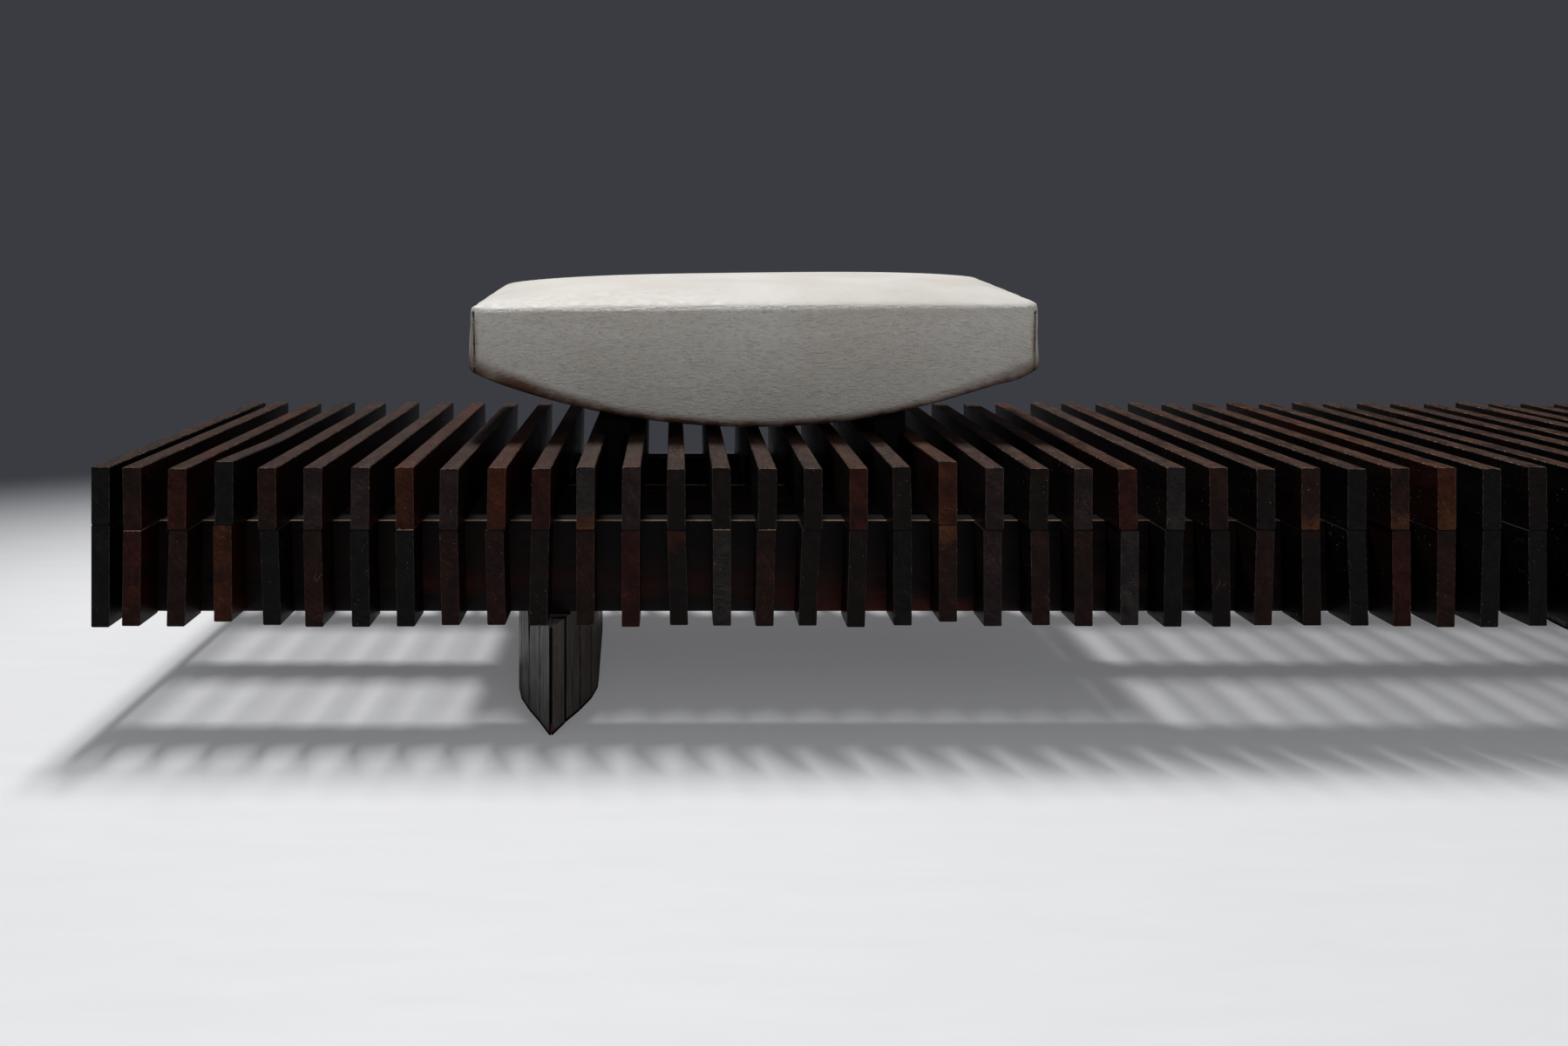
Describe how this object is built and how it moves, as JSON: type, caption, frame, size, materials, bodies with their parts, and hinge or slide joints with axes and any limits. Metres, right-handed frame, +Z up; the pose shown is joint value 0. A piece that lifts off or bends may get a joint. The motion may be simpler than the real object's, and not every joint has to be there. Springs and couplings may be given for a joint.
{
  "type": "slatted bench",
  "caption": "Long low bench of two-board wooden slats on long beams and boat-shaped stave pedestals, with a loose crowned seat whose runners drop between the slats",
  "frame": {"origin": "on the floor, below the middle of the bench", "axes": "+X runs along the bench, -Y is the front, +Z is up"},
  "size_m": [2.44, 0.6, 0.4998],
  "materials": {
    "slat_wood": "dark red-brown oiled hardwood with lighter worn edges",
    "block_wood": "dark red-brown oiled hardwood, each block its own tone",
    "beam_wood": "dark brown hardwood with fine grain along the beam",
    "pedestal_wood": "blackened wood, satin, with reddish wear at the tips",
    "dowel_wood": "plain pale hardwood",
    "leatherette": "cream leatherette with fine creases",
    "seat_board": "bare curved plywood",
    "runner_wood": "black painted wood"
  },
  "bodies": {
    "bench": {"slat_02": "slat_wood", "slat_03": "slat_wood", "slat_04": "slat_wood", "slat_05": "slat_wood", "slat_06": "slat_wood", "slat_07": "slat_wood", "slat_08": "slat_wood", "slat_09": "slat_wood", "slat_10": "slat_wood", "slat_11": "slat_wood", "slat_12": "slat_wood", "slat_13": "slat_wood", "slat_14": "slat_wood", "slat_15": "slat_wood", "slat_16": "slat_wood", "slat_17": "slat_wood", "slat_18": "slat_wood", "slat_19": "slat_wood", "slat_20": "slat_wood", "slat_21": "slat_wood", "slat_22": "slat_wood", "slat_23": "slat_wood", "slat_24": "slat_wood", "slat_25": "slat_wood", "slat_26": "slat_wood", "slat_27": "slat_wood", "slat_28": "slat_wood", "slat_29": "slat_wood", "slat_30": "slat_wood", "slat_31": "slat_wood", "slat_32": "slat_wood", "slat_33": "slat_wood", "slat_34": "slat_wood", "slat_35": "slat_wood", "slat_36": "slat_wood", "slat_37": "slat_wood", "slat_38": "slat_wood", "slat_39": "slat_wood", "slat_40": "slat_wood", "slat_41": "slat_wood", "slat_42": "slat_wood", "slat_43": "slat_wood", "slat_44": "slat_wood", "slat_45": "slat_wood", "slat_46": "slat_wood", "slat_47": "slat_wood", "slat_48": "slat_wood", "slat_49": "slat_wood", "end_upper_boards": "slat_wood", "end_lower_boards": "slat_wood", "lower_blocks": "block_wood", "front_beam": "beam_wood", "middle_beam": "beam_wood", "rear_beam": "beam_wood", "left_pedestal": "pedestal_wood", "right_pedestal": "pedestal_wood", "dowels": "dowel_wood"},
    "seat": {"seat_cushion": "leatherette", "seat_base": "seat_board", "seat_runners": "runner_wood"}
  },
  "joints": [
    {"name": "seat_lift_out", "type": "slide", "parent": "bench", "child": "seat", "axis": [0, 0, 1], "range_m": [0, 0.1]}
  ]
}
